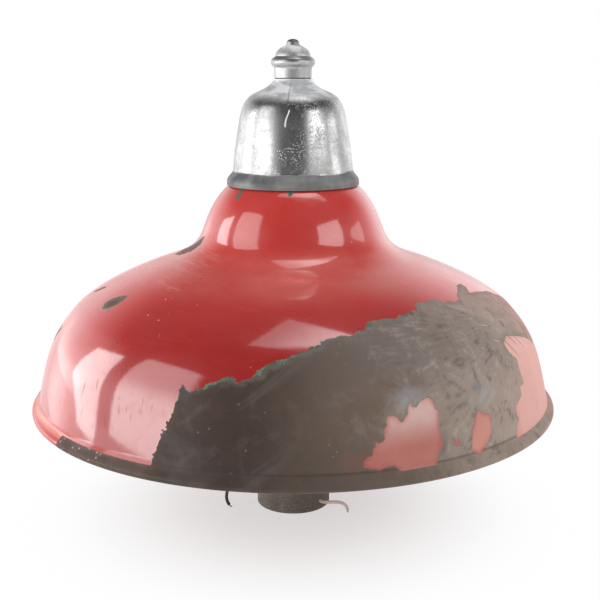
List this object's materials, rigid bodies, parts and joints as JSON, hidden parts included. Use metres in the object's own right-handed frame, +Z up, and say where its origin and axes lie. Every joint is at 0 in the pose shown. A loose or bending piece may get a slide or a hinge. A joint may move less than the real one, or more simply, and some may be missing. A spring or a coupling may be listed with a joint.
{
  "type": "service station light",
  "caption": "Post-top outdoor light: enamelled steel bell shade on a cast post fitter, with a lift-off cast cap, finial and lampholders in the neck.",
  "frame": {"origin": "centre of the post fitter's foot, on the surface that the light stands on", "axes": "+Z up along the axis of the fitter, shade, cap and finial; -Y towards the picture's camera"},
  "size_m": [0.61, 0.6098, 0.5508],
  "materials": {
    "fitter_iron": "weathered cast",
    "dark_steel": "dark, slightly rusted",
    "pipe_steel": "dull galvanised",
    "zinc_steel": "zinc plated, aged",
    "hub_cast": "rough cast",
    "white_enamel": "gloss enamel",
    "porcelain": "glazed porcelain",
    "brass": "tarnished",
    "red_enamel": "gloss enamel, partly lost to bare weathered iron",
    "gasket_rubber": "matte",
    "cast_aluminium": "polished casting",
    "finial_aluminium": "polished casting",
    "fibre": "vulcanised fibre",
    "screw_steel": "dull grey",
    "black_moulding": "moulded",
    "white_moulding": "moulded",
    "black_insulation": "satin",
    "white_insulation": "satin"
  },
  "bodies": {
    "fixture": {"post_fitter": "fitter_iron", "stem_pipe": "pipe_steel", "stem_lock_nuts": "zinc_steel", "hub": "hub_cast", "lampholder_plate": "white_enamel", "plate_screws": "zinc_steel", "lampholder_front": "porcelain", "lampholder_left": "porcelain", "lampholder_right": "porcelain", "screw_shell_front": "brass", "screw_shell_left": "brass", "screw_shell_right": "brass", "centre_contact_front": "brass", "centre_contact_left": "brass", "centre_contact_right": "brass", "terminal_screws": "brass", "lampholder_screws": "zinc_steel", "shade": "red_enamel", "clamp_ring": "zinc_steel", "clamp_screws": "zinc_steel", "cap_gasket": "gasket_rubber", "centre_rod": "zinc_steel", "rod_lock_nut": "zinc_steel", "coupling_nut": "zinc_steel", "black_wire_nut": "black_moulding", "white_wire_nut": "white_moulding", "black_loop_wires": "black_insulation", "white_loop_wires": "white_insulation", "black_riser": "black_insulation", "white_riser": "white_insulation", "black_lead": "black_insulation", "white_lead": "white_insulation"},
    "cap": {"cap": "cast_aluminium"},
    "finial": {"finial": "finial_aluminium", "finial_washer": "fibre"},
    "washer": {"screw_washer": "screw_steel"},
    "screw": {"top_screw": "screw_steel"},
    "set_screw_back": {"set_screw_back": "dark_steel"},
    "set_screw_left": {"set_screw_left": "dark_steel"},
    "set_screw_right": {"set_screw_right": "dark_steel"}
  },
  "joints": [
    {"name": "cap_lift", "type": "slide", "parent": "fixture", "child": "cap", "axis": [0, 0, 1], "range_m": [0, 0.13]},
    {"name": "finial_lift", "type": "slide", "parent": "cap", "child": "finial", "axis": [0, 0, 1], "range_m": [0, 0.05]},
    {"name": "screw_rise", "type": "slide", "parent": "finial", "child": "washer", "axis": [0, 0, 1], "range_m": [0, 0.01016]},
    {"name": "screw_turn", "type": "hinge", "parent": "washer", "child": "screw", "pos_m": [0, 0, 0.545], "axis": [0, 0, 1], "range_deg": [-5, 2885]},
    {"name": "set_screw_back_travel", "type": "slide", "parent": "fixture", "child": "set_screw_back", "axis": [0, -1, 0], "range_m": [-0.012, 0.0055]},
    {"name": "set_screw_left_travel", "type": "slide", "parent": "fixture", "child": "set_screw_left", "axis": [0.866, 0.5, 0], "range_m": [-0.012, 0.0055]},
    {"name": "set_screw_right_travel", "type": "slide", "parent": "fixture", "child": "set_screw_right", "axis": [-0.866, 0.5, 0], "range_m": [-0.012, 0.0055]}
  ],
  "couplings": [
    {"joint": "screw_turn", "follows": "screw_rise", "rad_per_m": 4947.4}
  ]
}
